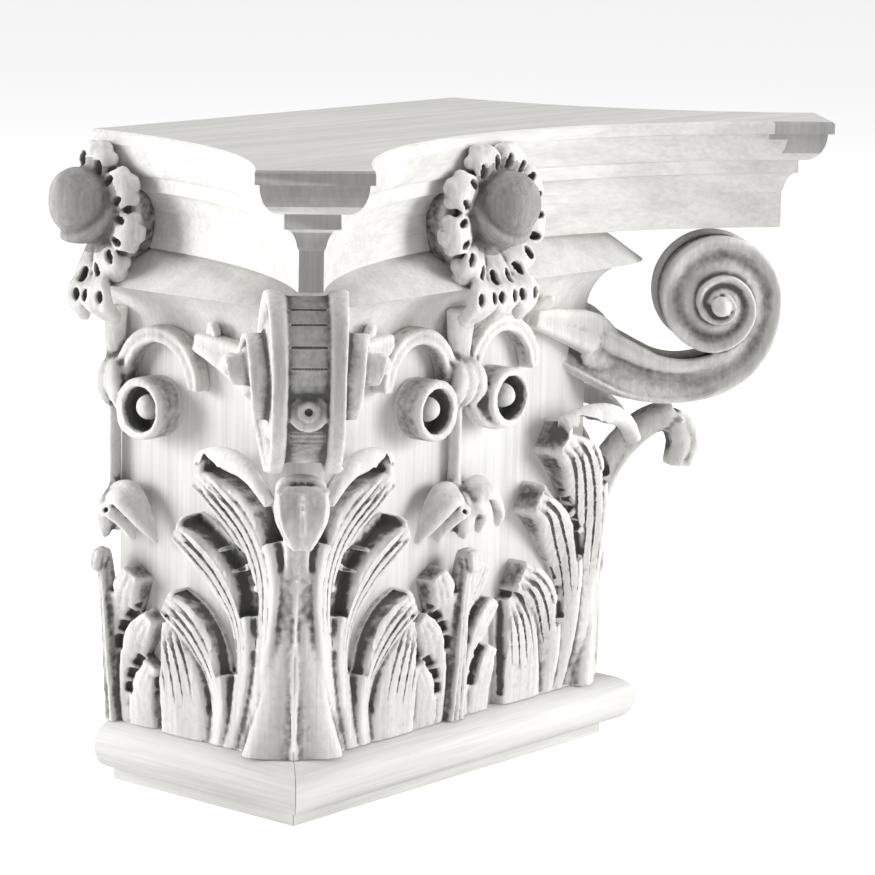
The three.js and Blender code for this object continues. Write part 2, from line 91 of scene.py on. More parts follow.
# Radius of the scroll at each quarter turn from its outermost point, winding inwards.
SCROLL_RADII = (28.5, 28, 23, 21, 15.5, 11.5, 9.4, 8, 6.2, 4.4, 3.4)
VOLUTE_HALF = 14.5                              # half its whole thickness
CHANNEL_HALF = 8                                # half the channel between its two cheeks
SCROLL_PITCH = 8                                # each turn stands this much further out
EYE_OUT = 32.5
HUB_RADIUS = 24

FLEURON_HEIGHT = 235.5
ACORN_RADIUS = 15
ACORN_TILT = math.radians(52)

LEAF_FOOT = 26.1
FACE_SHIFT = {"front": -4, "left": 0, "right": 0}
SIDE_SHIFT = {"front": 0, "left": 4, "right": -4}    # side acorns stand clear of the back

SIDES = ("front", "left", "right")
HALF_ROOT = math.sqrt(0.5)


# ---------- smooth runs and closed forms ----------

def run_smooth(rows, steps):
    """Rows of numbers at even stations, carried through a smooth curve in more steps."""
    rows = np.array(rows, dtype=float)
    if rows.ndim == 1:
        rows = rows[:, None]
    if len(rows) == 1:
        return np.repeat(rows, steps + 1, axis=0)
    last = len(rows) - 1
    padded = np.vstack([2 * rows[0] - rows[1], rows, 2 * rows[-1] - rows[-2]])
    run = []
    for place in np.linspace(0, last, steps + 1):
        i = min(int(place), last - 1)
        t = place - i
        a, b, c, d = padded[i:i + 4]
        run.append(0.5 * (2 * b + (c - a) * t + (2 * a - 5 * b + 4 * c - d) * t * t
                          + (3 * b - a - 3 * c + d) * t ** 3))
    return np.array(run)


def unit(v):
    return v / np.maximum(np.linalg.norm(v, axis=-1, keepdims=True), 1e-9)


def strip(path, widths, rises, out, sunk=2.5, steps=16, sides=12, flute=0.0, square=1.0,
          lean=0.0):
    """A carved strip along a smooth path: rounded or hollow on top, its back sunk in.

    Widths and rises are half width and height at even stations. `out` is the way the
    top faces, one direction or one at each even station. A flute hollows the top, a
    square below 1 makes the edges fuller, and a lean lets the right hand side drop.
    """
    centre = run_smooth(path, steps)
    wide = run_smooth(widths, steps)[:, 0]
    rise = run_smooth(rises, steps)[:, 0]
    deep = run_smooth([sunk] if np.isscalar(sunk) else sunk, steps)[:, 0]
    drop = run_smooth([lean] if np.isscalar(lean) else lean, steps)[:, 0]
    way = np.array(out, dtype=float)
    way = unit(run_smooth(way if way.ndim == 2 else [way], steps))
    ahead = unit(np.gradient(centre, axis=0))
    across = unit(np.cross(ahead, way))
    way = np.cross(across, ahead)
    form = bmesh.new()
    bmesh.ops.create_cone(form, cap_ends=True, cap_tris=False, segments=sides,
                          radius1=1, radius2=1, depth=1)
    upright = [e for e in form.edges if abs(e.verts[0].co.z - e.verts[1].co.z) > 0.5]
    bmesh.ops.subdivide_edges(form, edges=upright, cuts=steps - 1, use_grid_fill=True)
    for v in form.verts:
        k = round((v.co.z + 0.5) * steps)
        x = v.co.x
        y = math.copysign(abs(v.co.y) ** square, v.co.y)
        hollow = 1 - flute * math.cos(x * math.pi / 2) ** 2
        slope = 1 - drop[k] * (x + 1) / 2
        lift = rise[k] * y * hollow * slope if y > 0 else deep[k] * y
        v.co = Vector(centre[k] + across[k] * x * wide[k] + way[k] * lift)
    bmesh.ops.recalc_face_normals(form, faces=form.faces)
    return form


def rod(path, radii, steps=16, sides=10):
    start = np.array(path[0], dtype=float)
    ahead = np.array(path[-1], dtype=float) - start
    way = (0, 0, 1) if abs(ahead[2]) < 0.8 * np.linalg.norm(ahead) else (0, 1, 0)
    return strip(path, radii, radii, way, sunk=radii, steps=steps, sides=sides)


def ball(centre, sizes, turn=None, divisions=3):
    """A ball or egg: half sizes along its own axes, turned, and set at a centre."""
    form = bmesh.new()
    sizes = (sizes,) * 3 if np.isscalar(sizes) else sizes
    matrix = Matrix.Translation(centre) @ (turn or Matrix()) @ Matrix.Diagonal((*sizes, 1))
    bmesh.ops.create_icosphere(form, subdivisions=divisions, radius=1, matrix=matrix)
    return form


def facing(direction):
    """A turn that brings +Z to the given direction."""
    return Vector(direction).to_track_quat("Z", "Y").to_matrix().to_4x4()


def turned(profile, centre, direction, steps=40):
    """A turned form: a profile of (radius, height) points spun about its axis."""
    form = bmesh.new()
    verts = [form.verts.new((r, 0, h)) for r, h in profile]
    edges = [form.edges.new(pair) for pair in zip(verts, verts[1:])]
    bmesh.ops.spin(form, geom=verts + edges, cent=(0, 0, 0), axis=(0, 0, 1),
                   angle=2 * math.pi, steps=steps, use_merge=True)
    bmesh.ops.remove_doubles(form, verts=form.verts, dist=1e-4)
    matrix = Matrix.Translation(centre) @ facing(direction)
    bmesh.ops.transform(form, matrix=matrix, verts=form.verts)
    bmesh.ops.recalc_face_normals(form, faces=form.faces)
    return form


def disc(centre, direction, radius, low, high, steps=40):
    """A disc or short drum along a direction, with eased edges."""
    ease = 0.8
    profile = [(0, low), (radius - ease, low), (radius, low + ease), (radius, high - ease),
               (radius - ease, high), (0, high)]
    return turned(profile, centre, direction, steps)


def hoop(centre, direction, radius, tube):
    """A ring with a round section."""
    profile = []
    for i in range(13):
        a = 2 * math.pi * i / 12
        profile.append((radius + tube * math.cos(a), tube * math.sin(a)))
    return turned(profile, centre, direction, 36)


def box(low, high):
    form = bmesh.new()
    low, high = Vector(low), Vector(high)
    matrix = Matrix.Translation((low + high) / 2) @ Matrix.Diagonal((*(high - low), 1))
    bmesh.ops.create_cube(form, size=1, matrix=matrix)
    return form


def loft(rings):
    """Plans at rising heights joined into one moulding: [(height, points)].

    The plan at each height stays inside the moulding as a face of its own.
    """
    form = bmesh.new()
    height, points = rings[0]
    made = bmesh.ops.create_circle(form, cap_ends=True, segments=len(points), radius=1)
    order = made["verts"]
    for v, (x, y) in zip(order, points):
        v.co = (x, y, height)
    face = form.faces[:][0]
    for height, points in rings[1:]:
        place = {tuple(v.co): i for i, v in enumerate(order)}
        result = bmesh.ops.extrude_face_region(form, geom=[face])["geom"]
        fresh = [g for g in result if isinstance(g, bmesh.types.BMVert)]
        face = [g for g in result if isinstance(g, bmesh.types.BMFace)][0]
        order = sorted(fresh, key=lambda v: place[tuple(v.co)])
        for v, (x, y) in zip(order, points):
            v.co = (x, y, height)
    bmesh.ops.recalc_face_normals(form, faces=form.faces)
    return form


def copied(form, matrix):
    """The same form moved, turned or mirrored."""
    copy = form.copy()
    bmesh.ops.transform(copy, matrix=Matrix(matrix), verts=copy.verts)
    if Matrix(matrix).determinant() < 0:
        bmesh.ops.reverse_faces(copy, faces=copy.faces)
    return copy


MIRROR_X = Matrix.Diagonal((-1, 1, 1, 1))
SWAP_XY = Matrix(((0, 1, 0, 0), (1, 0, 0, 0), (0, 0, 1, 0), (0, 0, 0, 1)))


def all_copied(forms, matrix):
    return [copied(form, matrix) for form in forms]


def with_mirror(forms, matrix):
    return forms + all_copied(forms, matrix)


def to_side(side):
    """The turn that brings the front face's carving to a side face."""
    turn = {"front": 0, "left": -math.pi / 2, "right": math.pi / 2}[side]
    return Matrix.Rotation(turn, 4, "Z") @ Matrix.Translation((FACE_SHIFT[side], 0, 0))


# ---------- from forms to one carved body ----------

def bench_object(forms):
    whole = bmesh.new()
    for form in forms:
        mesh = bpy.data.meshes.new("form")
        form.to_mesh(mesh)
        whole.from_mesh(mesh)
        bpy.data.meshes.remove(mesh)
    mesh = bpy.data.meshes.new("bench")
    whole.to_mesh(mesh)
    whole.free()
    obj = bpy.data.objects.new("bench", mesh)
    bpy.context.scene.collection.objects.link(obj)
    return obj


def settle(obj):
    """Turns the object's modifiers into its mesh."""
    depsgraph = bpy.context.evaluated_depsgraph_get()
    mesh = bpy.data.meshes.new_from_object(obj.evaluated_get(depsgraph))
    old = obj.data
    obj.modifiers.clear()
    obj.data = mesh
    bpy.data.meshes.remove(old)


def fused(forms, cell):
    """Overlapping closed forms melted into one body with cells of the given size."""
    obj = bench_object(forms)
    melt = obj.modifiers.new("melt", "REMESH")
    melt.mode = "VOXEL"
    melt.voxel_size = cell
    settle(obj)
    return obj


def is_closed(mesh):
    form = bmesh.new()
    form.from_mesh(mesh)
    closed = len(form.faces) > 0 and all(len(e.link_faces) == 2 for e in form.edges)
    form.free()
    return closed


def cut_away(obj, tool):
    """Cuts a closed tool out of a closed body, and discards the tool.

    The body stays whole where neither solver leaves a closed one, as happens with tools
    made by `loft`.
    """
    kept = obj.data.copy()
    for solver in ("MANIFOLD", "EXACT"):
        cut = obj.modifiers.new("cut", "BOOLEAN")
        cut.operation = "DIFFERENCE"
        cut.solver = solver
        cut.object = tool
        settle(obj)
        if is_closed(obj.data):
            break
        obj.data = kept.copy()
    bpy.data.objects.remove(tool)


def neighbours_mean(points, pairs, count):
    total = np.zeros_like(points)
    for axis in range(points.shape[1]):
        total[:, axis] = (np.bincount(pairs[:, 0], points[pairs[:, 1], axis], len(points))
                          + np.bincount(pairs[:, 1], points[pairs[:, 0], axis], len(points)))
    return total / np.maximum(count, 1)[:, None]


def read_points(mesh):
    points = np.empty(len(mesh.vertices) * 3)
    mesh.vertices.foreach_get("co", points)
    pairs = np.empty(len(mesh.edges) * 2, dtype=np.int64)
    mesh.edges.foreach_get("vertices", pairs)
    pairs = pairs.reshape(-1, 2)
    count = np.bincount(pairs.ravel(), minlength=len(mesh.vertices))
    return points.reshape(-1, 3), pairs, count


def read_normals(mesh):
    normals = np.empty(len(mesh.vertices) * 3)
    mesh.vertices.foreach_get("normal", normals)
    return normals.reshape(-1, 3)


def hand_finish(mesh, texture, held):
    """Eases the surface, leaves faint gouge marks, and keeps points of held planes."""
    points, pairs, count = read_points(mesh)
    start = points.copy()
    points = points * 0.5 + neighbours_mean(points, pairs, count) * 0.5
    normals = read_normals(mesh)
    bumps = np.array([noise.noise(Vector(p) * 0.35) + 0.6 * noise.noise(Vector(p) * 0.9)
                      for p in points])
    points = points + normals * (bumps * texture)[:, None]
    for axis, value in held:
        fixed = np.abs(start[:, axis] - value) < 0.02
        points[fixed, axis] = value
    mesh.vertices.foreach_set("co", points.ravel())
    mesh.update()


def mark_shade_and_edges(mesh, wall_shade, sheet=None):
    """Keeps how hollow each point lies, from -1 on edges to 1 in pits, as `hollow`.

    Walls cut square into the wood get painted shade, so they count as hollow too; the
    material darkens each point by this value as painted shade. The flat back does not.
    A sheet direction is given for a piece that faces two ways.
    """
    points, pairs, count = read_points(mesh)
    normals = read_normals(mesh)
    values = np.zeros(len(points))
    smoothed = points.copy()
    for step in range(1, 41):
        smoothed = neighbours_mean(smoothed, pairs, count)
        if step in (4, 40):
            depth = np.einsum("ij,ij->i", smoothed - points, normals)
            values += depth / (0.45 if step == 4 else 1.5)
    beyond = np.zeros_like(points)
    beyond[:, 0] = np.sign(points[:, 0]) * np.maximum(np.abs(points[:, 0]) - BELL_HALF, 0)
    beyond[:, 1] = -np.maximum(-points[:, 1] - BELL_HALF, 0)
    if sheet is None:
        facing_out = np.einsum("ij,ij->i", unit(beyond), normals)
    else:
        facing_out = np.abs(normals @ np.array(sheet))
    # painted shade on steep walls: they count as hollow, so the material darkens them
    steep = np.clip(1.25 * (0.75 - facing_out), 0, 1)
    values += wall_shade * steep
    values[points[:, 1] > -0.05] = 0
    # the material reads `hollow` as painted shade in pits and on walls, and as worn edges
    attribute = mesh.attributes.new("hollow", "FLOAT", "POINT")
    attribute.data.foreach_set("value", np.clip(values, -1, 1))


def finished(obj, name, node, material, sharp=42):
    """Brings a piece from millimetres into the frame and gives it its place there."""
    obj.name = name
    obj.data.name = name
    obj.data.transform(Matrix.Translation((0, BACK_PLANE, 0)) @ Matrix.Scale(MM, 4))
    obj.data.polygons.foreach_set("use_smooth", [True] * len(obj.data.polygons))
    obj.data.set_sharp_from_angle(angle=math.radians(sharp))
    obj.data.materials.clear()
    obj.data.materials.append(material)
    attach(obj, "root")
    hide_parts(node)
    return obj


def carve(name, forms, cuts, extras, cell, trims, material, texture=0.16, wall_shade=0.9,
          sheet=None):
    """One carved piece: forms melted together, hollows cut out, details set in them,
    trimmed and finished."""
    obj = fused(forms, cell)
    if cuts:
        cut_away(obj, fused(cuts, cell))
    if extras:
        body = bmesh.new()
        body.from_mesh(obj.data)
        bpy.data.objects.remove(obj)
        obj = fused([body] + extras, cell)
    for trim in trims:
        cut_away(obj, bench_object([trim]))
    held = ((1, 0.0), (2, LEAF_FOOT))
    hand_finish(obj.data, texture, held)
    # marks where the carving gets painted shade in pits and on walls, and its worn edges
    mark_shade_and_edges(obj.data, wall_shade, sheet)
    finished(obj, f"{name}_carving", name, material, sharp=50)
    obj.data.materials.append(PLAIN)            # sawn flat where it meets the back plane
    for face in obj.data.polygons:
        if face.normal.y > 0.99 and abs(face.center.y - BACK_PLANE) < 1e-5:
            face.material_index = 1
    return obj


# ---------- plans of the bell and the abacus ----------

def rounded_half_square(half, radius):
    corner_steps = 14
    points = [(half, 0)]
    for side in (1, -1):
        for i in range(corner_steps + 1):
            part = i if side > 0 else corner_steps - i
            angle = part / corner_steps * math.pi / 2
            points.append((side * (half - radius + radius * math.cos(angle)),
                           -(half - radius) - radius * math.sin(angle)))
    points.append((-half, 0))
    return points


def hollow_half_square(ring):
    arc_steps = 48
    middle, corner, cut = ring
    near, far = (corner - cut) * HALF_ROOT, (corner + cut) * HALF_ROOT
    rise = far - middle
    radius = (near * near + rise * rise) / (2 * rise)

    def depth_at(along):
        return middle + radius - math.sqrt(radius * radius - along * along)

    half_steps = arc_steps // 2
    points = [(depth_at(near * i / half_steps), -near * i / half_steps)
              for i in range(half_steps + 1)]
    for i in range(arc_steps + 1):
        along = near * (1 - 2 * i / arc_steps)
        points.append((along, -depth_at(along)))
    points += [(-depth_at(near * i / half_steps), -near * i / half_steps)
               for i in range(half_steps, -1, -1)]
    return points


def bell_form(extra=0.0):
    rings = [(0, BELL_HALF, BELL_CORNER_RADIUS), (COVE_BOTTOM, BELL_HALF, BELL_CORNER_RADIUS)]
    cove_steps = 14
    for i in range(1, cove_steps + 1):
        angle = i / cove_steps * math.pi / 2
        share = 1 - math.cos(angle)
        rings.append((COVE_BOTTOM + (LIP_EDGE_HEIGHT - COVE_BOTTOM) * math.sin(angle),
                      BELL_HALF + (LIP_EDGE_HALF - BELL_HALF) * share,
                      BELL_CORNER_RADIUS + (LIP_EDGE_RADIUS - BELL_CORNER_RADIUS) * share))
    rings.append((BELL_TOP, FASCIA_RING[0], 20))
    return loft([(height, rounded_half_square(half + extra, radius + extra))
                 for height, half, radius in rings])


def abacus_form(extra=0.0):
    levels = [(ABACUS_BOTTOM, FASCIA_RING), (238.2, FASCIA_RING)]
    for i in range(1, 9):                       # cavetto under the fillet
        angle = i / 8 * math.pi / 2
        ring = FASCIA_RING + (FILLET_RING - FASCIA_RING) * (0.12 + 0.88 * (1 - math.cos(angle)))
        levels.append((238.4 + 8.5 * math.sin(angle), ring))
    levels.append((252.4, FILLET_RING))
    for i in range(0, 9):                       # ovolo over it
        angle = i / 8 * math.pi / 2
        ring = FILLET_RING + (OVOLO_RING - FILLET_RING) * (0.16 + 0.84 * math.sin(angle))
        levels.append((252.6 + 11.6 * (1 - math.cos(angle)), ring))
    levels += [(264.4, TOP_RING), (CAPITAL_HEIGHT - 0.9, TOP_RING),
               (CAPITAL_HEIGHT, TOP_RING - np.array([0.9, 0.9, 0.4]))]
    grow = np.array([extra, extra, extra])
    return loft([(height + (extra if height > 230 else -extra), hollow_half_square(ring + grow))
                 for height, ring in levels])


def moulding_form(side):
    """One length of the base moulding: plinth below, round nose above, mitred corners."""
    radius = (NOSE_TOP - PLINTH_HEIGHT) / 2
    inner = BELL_HALF + 0.2
    outline = [(inner, 0), (PLINTH_HALF, 0), (PLINTH_HALF, PLINTH_HEIGHT)]
    for i in range(19):
        angle = -math.pi / 2 + math.pi * i / 18
        outline.append((PLINTH_HALF + NOSE_OUT - radius + radius * math.cos(angle),
                        PLINTH_HEIGHT + radius + radius * math.sin(angle)))
    outline.append((inner, NOSE_TOP))
    form = bmesh.new()
    face = form.faces.new([form.verts.new((out, 0, up)) for out, up in outline])
    result = bmesh.ops.extrude_face_region(form, geom=[face])["geom"]
    far_end = {g for g in result if isinstance(g, bmesh.types.BMVert)}
    joint = 0.12                                # half the thin line at a mitre
    for v in form.verts:
        out, up = v.co.x, v.co.z
        if side == "front":
            along = out - joint if v in far_end else joint - out
            v.co = (along, -out, up)
        else:
            turn = 1 if side == "right" else -1
            v.co = (turn * out, joint - out if v in far_end else 0, up)
    bmesh.ops.recalc_face_normals(form, faces=form.faces)
    return form


def eased(form, width, angle):
    """Takes the arris off the sharp edges, but not where the back is cut flat."""
    sharp = [e for e in form.edges if len(e.link_faces) == 2
             and e.calc_face_angle(0) > math.radians(angle)
             and not all(abs(v.co.y) < 1e-3 for v in e.verts)]
    bmesh.ops.bevel(form, geom=sharp, offset=width, affect="EDGES", segments=2,
                    profile=0.5, material=-1, clamp_overlap=True)
    bmesh.ops.recalc_face_normals(form, faces=form.faces)
    return form


# ---------- lobes of a leaf ----------

OUTWARD = (0, -1, 0)


def lobe(spine, widths, lifts, leans, flutes, gouge=1.3):
    """One lobe on the front face: its inner edge stands up as a steep wall, and it
    leans down to the outer edge, except at its tip. Flutes run out through the tip.

    The spine is (along, up) from the foot to the tip; the other lists go with it.
    """
    path = [(a, -BELL_HALF, z) for a, z in spine]
    forms = [strip(path, widths, lifts, OUTWARD, sunk=3, steps=28, sides=24, square=0.2,
                   lean=leans)]
    centre, wide, high, drop = (run_smooth(rows, 24) for rows in (path, widths, lifts, leans))
    ahead = unit(np.gradient(centre, axis=0))
    across = unit(np.cross(ahead, np.array(OUTWARD, dtype=float)))
    cuts = []
    for j in range(flutes):
        share = (j + 1) / (flutes + 1) * 2 - 1
        line = centre + across * (share * wide * 0.95)
        surface = high[:, 0] * (1 - drop[:, 0] * (share + 1) / 2)
        line[:, 1] -= surface * (1 - abs(share) ** 5) ** 0.2
        line = np.vstack([line[6 + j % 2::3], line[-1] + ahead[-1] * 2])
        stations = len(line)
        line[0, 1] -= gouge
        sizes = [gouge * (0.45 + 0.75 * k / (stations - 1)) for k in range(stations)]
        cuts.append(rod(line, sizes, steps=26, sides=8))
    return forms, cuts


def gouge_chain(cusps, across=4.2, side=1):
    """Square cuts side by side, straight into a wall, that leave thin cusps between them.

    The cusps are (along, up) points on the wall; side is 1 for an inner wall.
    """
    bite, cusp = 1.2, 1.1                       # cut into the wall, and thickness of a cusp
    floor, reach = 2, 29                        # how far the cut's two ends stand off the bell
    deep = (reach - floor) / 2
    cuts = []
    for start, end in zip(cusps, cusps[1:]):
        start, end = Vector(start), Vector(end)
        ahead = (end - start).normalized()
        centre = (start + end) / 2 + Vector((-ahead.y, ahead.x)) * side * (across - bite)
        half = (end - start).length / 2 - cusp / 2
        cut = box((-across, -deep, -half), (across, deep, half))
        place = Matrix.Translation((centre.x, -(BELL_HALF + floor + deep), centre.y))
        turn = Matrix.Rotation(math.atan2(ahead.x, ahead.y), 4, "Y")
        bmesh.ops.transform(cut, matrix=place @ turn, verts=cut.verts)
        cuts.append(cut)
    return cuts


def set_from(middle, rows):
    """The same rows with their distance along the face taken from another line."""
    return [(row[0] + middle, *row[1:]) for row in rows]


def diagonal(s, sideways, up):
    return ((-s + sideways) * HALF_ROOT, (-s - sideways) * HALF_ROOT, up)


DIAGONAL_OUT = (-HALF_ROOT, -HALF_ROOT, 0)
DIAGONAL_SIDE = (HALF_ROOT, -HALF_ROOT, 0)

# Lobes of the corner leaf, highest first, by distance from the corner: spine, half
# widths, lifts, how far each leans down to its outer edge, and number of flutes.
CORNER_LOBES = (
    ([(25, 20), (18.5, 45), (15.5, 62), (13, 82), (13, 100), (18, 116), (28, 129), (40, 137.5)],
     [5.5, 6, 7.4, 9.4, 11.4, 12, 10.5, 8], [6, 8, 9, 10, 11.5, 14, 17, 17.5],
     [0.3, 0.5, 0.65, 0.75, 0.7, 0.5, 0.25, 0.1], 4),
    ([(34, 20), (26, 46), (23.5, 64), (26, 81), (34, 96), (43, 106.5), (54, 113)],
     [4.6, 5.4, 6, 8.4, 10.4, 9.4, 7], [6, 8, 9, 10.5, 12.5, 14, 14],
     [0.3, 0.5, 0.65, 0.7, 0.5, 0.2, 0.1], 3),
    ([(41, 20), (36.5, 38), (38, 52), (43, 64), (51, 74.5), (62, 81)],
     [4.5, 5, 7, 9, 8.6, 7], [6, 8, 9.5, 10.5, 11.5, 11.5], [0.3, 0.5, 0.6, 0.4, 0.2, 0.1], 3),
    ([(55, 20), (56, 40), (59.5, 58), (65, 72)], [13, 13, 11.5, 7], [6, 7, 8, 7.5],
     [0, 0, 0, 0], 4),
)
# Cusps left between the gouge cuts in the inner wall of each lobe, and in the outer edge.
CORNER_WALLS = (
    [(6.5, 113), (9.2, 122.8), (11.5, 128), (17.2, 133.6), (26, 137.4), (37, 140.5)],
    [(21.5, 81), (23.3, 91.5), (26, 98.8), (32, 106.2), (41.5, 112.5), (51, 116)],
    [(33, 55), (34.6, 64.3), (36, 70), (40, 76.8), (47.5, 82.8), (57, 86.5)],
)
CORNER_EDGE = [(68, 29), (68.5, 38), (68.5, 47), (68.5, 56), (68.5, 65), (69, 73)]


def corner_leaf_forms():
    half, cuts = [], []
    for spine, widths, lifts, leans, flutes in CORNER_LOBES:
        forms, gouges = lobe(set_from(-BELL_HALF, spine), widths, lifts, leans, flutes)
        half += forms
        cuts += gouges
    for wall in CORNER_WALLS:
        cuts += gouge_chain(set_from(-BELL_HALF, wall))
    cuts += gouge_chain(set_from(-BELL_HALF, CORNER_EDGE), across=3, side=-1)
    # web that carries the top lobe's inner edge over to the crown
    web = [(40, 13, 142), (28, 16, 145.5), (15, 18, 145.5), (5, 19.5, 141), (-3, 19, 132)]
    half.append(strip([(a - BELL_HALF, -(BELL_HALF + o), z) for a, o, z in web],
                      [5, 5, 4.5, 3.4, 2.4], [3, 3.4, 3.4, 3, 2.4], (-0.3, -1, 0.5), sunk=5,
                      steps=24, sides=14))
    forms = with_mirror(half, SWAP_XY)
    cuts = with_mirror(cuts, SWAP_XY)
    # central rib, fanning at the foot and curling over into a drooping pointed crown
    rib = [(129, 20), (131, 50), (132.5, 85), (135.5, 108), (143, 124), (156, 137), (167, 140),
           (172.5, 131), (171, 119)]
    turns = [(1, 0), (1, 0), (1, 0), (1, -0.2), (0.8, -0.7), (0.3, -1), (1, -0.4), (1, 0.2),
             (1, 0.3)]
    ways = [(DIAGONAL_OUT[0] * o, DIAGONAL_OUT[1] * o, u) for o, u in turns]
    path = [diagonal(s, 0, z) for s, z in rib]
    forms.append(strip(path, [22, 13.5, 8, 6, 6.5, 9, 10, 10.5, 5],
                       [8, 7.5, 7, 6, 5, 6, 6, 5, 2.5], ways, sunk=6, steps=44, sides=24,
                       square=0.7))
    crests = list(zip((19.5, 12, 6.6, 4, 5.5, 7.5, 8.5, 8, 3), (0, 0.2, 0.6, 1, 1, 1, 1, 1, 1)))
    for j in range(9):
        share = (j - 4) / 4
        line = [diagonal(s + 5 - abs(share) * 4.4 * (1 - t), share * w, z)
                for (s, z), (w, t) in zip(rib, crests)]
        middle = 1.5 if j == 4 else 1
        forms.append(strip(line, [1.7, 1.4, 1, 0.8, 0.9, 1, 1, 1, 0.9],
                           [middle * r for r in (3.4, 3.2, 2.6, 2.4, 2.4, 2.4, 2.4, 2.4, 1.5)],
                           ways, sunk=3, steps=44, sides=8))
    for sideways in (-7, 7):
        cuts.append(strip([diagonal(171, sideways, 130), diagonal(170, sideways, 135),
                           diagonal(166, sideways * 0.86, 140)], [0.6, 1.2, 0.5], [5, 5, 5],
                          DIAGONAL_OUT, sunk=5, steps=10, sides=8))
    # the crack in the foot of the rib, and the chip beside it
    cuts.append(strip([diagonal(143, -1, 20), diagonal(144, 0.6, 30), diagonal(142, 2.2, 38)],
                      [0.8, 0.7, 0.3], [4, 4, 2], DIAGONAL_OUT, sunk=5, steps=10, sides=8))
    return forms, cuts


# The face leaf, drawn on one side of its middle in the same way.
FACE_LOBES = (
    ([(5, 20), (5, 46), (5.6, 64), (9, 79), (15, 90)], [4.8, 4.6, 5.6, 7.4, 5],
     [5, 7, 8.5, 10.5, 11], [0.3, 0.6, 0.6, 0.3, 0.1], 3),
    ([(11, 20), (10, 38), (12, 53), (17, 64.5), (23.5, 73)], [4.4, 4.4, 5.6, 6.4, 4.2],
     [5, 7, 8.5, 9.5, 9.5], [0.3, 0.6, 0.5, 0.3, 0.1], 3),
    ([(18, 20), (17.5, 33), (19.5, 44), (24, 53)], [7.5, 7, 6.4, 4.4], [5, 6.5, 8, 8],
     [0.1, 0.1, 0.1, 0.1], 3),
)
FACE_WALLS = (
    [(3.4, 80), (4, 86.5), (6, 91), (10, 95), (15, 97.5)],
    [(7, 56), (8, 62.5), (11, 68), (15.5, 72.5), (21, 76)],
    [(12, 38), (12.8, 43.5), (15, 49), (19.5, 54.5)],
)
FACE_EDGE = [(25, 29.5), (25.5, 36), (26, 42.5), (27, 49)]


def face_leaf_forms():
    half, cuts = [], []
    for spine, widths, lifts, leans, flutes in FACE_LOBES:
        forms, gouges = lobe(spine, widths, lifts, leans, flutes, gouge=0.9)
        half += forms
        cuts += gouges
    for wall in FACE_WALLS:
        cuts += gouge_chain(wall, across=2.6)
    cuts += gouge_chain(FACE_EDGE, across=2.2, side=-1)
    rib = []
    forms = with_mirror(half, MIRROR_X)
    cuts = with_mirror(cuts, MIRROR_X)
    path = [(0, -(BELL_HALF + o), z) for o, z in
            ((3, 20), (5, 50), (7, 80), (9, 92), (11, 97), (12, 94), (11.5, 90))]
    ways = [OUTWARD, OUTWARD, (0, -1, 0.2), (0, -0.7, 0.8), (0, -0.6, 1), (0, -1, -0.3),
            (0, -0.3, -1)]
    rib.append(strip(path, [6, 4, 3.2, 3.4, 4, 3.8, 2.4], [4, 4, 4, 3.5, 3.2, 3, 2.2], ways,
                       sunk=4, steps=26, sides=14))
    for share in (-1, 0, 1):
        line = [(share * w, y - 2.8, z) for (_, y, z), w in
                zip(path, (3.5, 2.2, 1.6, 1.8, 2.2, 2, 1))]
        rib.append(strip(line, [1.3, 1, 0.9, 1.2, 1.6, 1.6, 1.2], [2.2] * 7, ways,
                         sunk=2, steps=26, sides=8))
    return forms, cuts, rib


# ---------- volutes ----------

def scroll_radius(turns):
    return float(np.interp(turns * 4, range(len(SCROLL_RADII)), SCROLL_RADII))


def scroll_line(from_turn, to_turn, steps):
    """Centre line of the scroll's band from one turn to another, winding out sideways:
    distance along the diagonal, height, half width, and how far its face stands out."""
    eye_s, eye_z = VOLUTE_EYE
    rows = []
    for i in range(steps + 1):
        turn = from_turn + (to_turn - from_turn) * i / steps
        outer = scroll_radius(turn)
        inner = scroll_radius(turn + 1) if turn < 1.5 else 1.5
        middle, half = (outer + inner) / 2, (outer - inner) / 2
        angle = turn * 2 * math.pi
        rows.append((eye_s + middle * math.cos(angle), eye_z + middle * math.sin(angle),
                     half, VOLUTE_HALF + SCROLL_PITCH * turn))
    return rows


# The band before the scroll: along the diagonal, height, half width, face out sideways.
VOLUTE_BAND = [(110, 178, 8, 18), (122, 173.5, 10.5, 17.5), (136, 167.3, 11.9, 16),
               (147, 162.2, 11.6, 15), (159, 158.4, 10, VOLUTE_HALF),
               (172, 157.6, 9, VOLUTE_HALF), (185, 160.4, 8.6, VOLUTE_HALF),
               (196.5, 167.6, 7.8, VOLUTE_HALF), (203.6, 179, 6.9, VOLUTE_HALF)]


